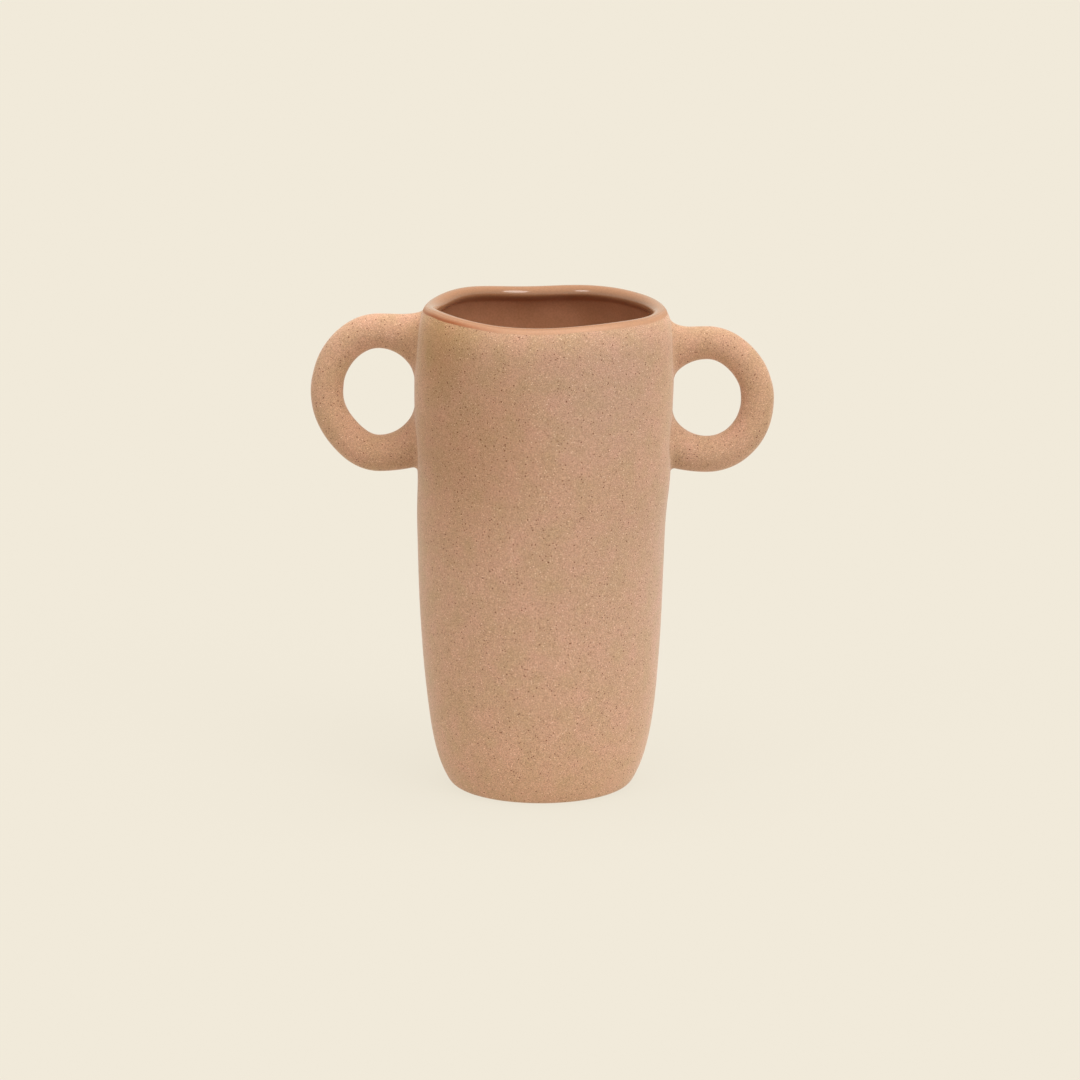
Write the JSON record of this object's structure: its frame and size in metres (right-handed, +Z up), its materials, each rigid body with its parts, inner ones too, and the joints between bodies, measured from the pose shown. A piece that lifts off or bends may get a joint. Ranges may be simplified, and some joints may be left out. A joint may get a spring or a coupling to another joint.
{
  "type": "vase",
  "caption": "Tall hand-built stoneware vase, slightly tapered, with ring handles at the shoulder, bare matt clay outside and a glossy glaze inside and over the soft rim.",
  "frame": {"origin": "centre of the flat foot, on the face that the vase stands on", "axes": "+Z up through the mouth; X through the two handles, -X is the left handle of the picture; -Y is the picture's front"},
  "size_m": [0.19, 0.105, 0.2021],
  "materials": {
    "stoneware": "bare matt speckled stoneware",
    "slip": "matt, smoothed by hand",
    "glaze": "glossy amber-brown glaze"
  },
  "bodies": {
    "root": {"base_slab": "stoneware", "base_slip": "slip", "body_wall": "stoneware", "inner_glaze": "glaze", "left_handle": "stoneware", "right_handle": "stoneware", "left_upper_slip": "slip", "left_lower_slip": "slip", "right_upper_slip": "slip", "right_lower_slip": "slip"}
  },
  "joints": []
}
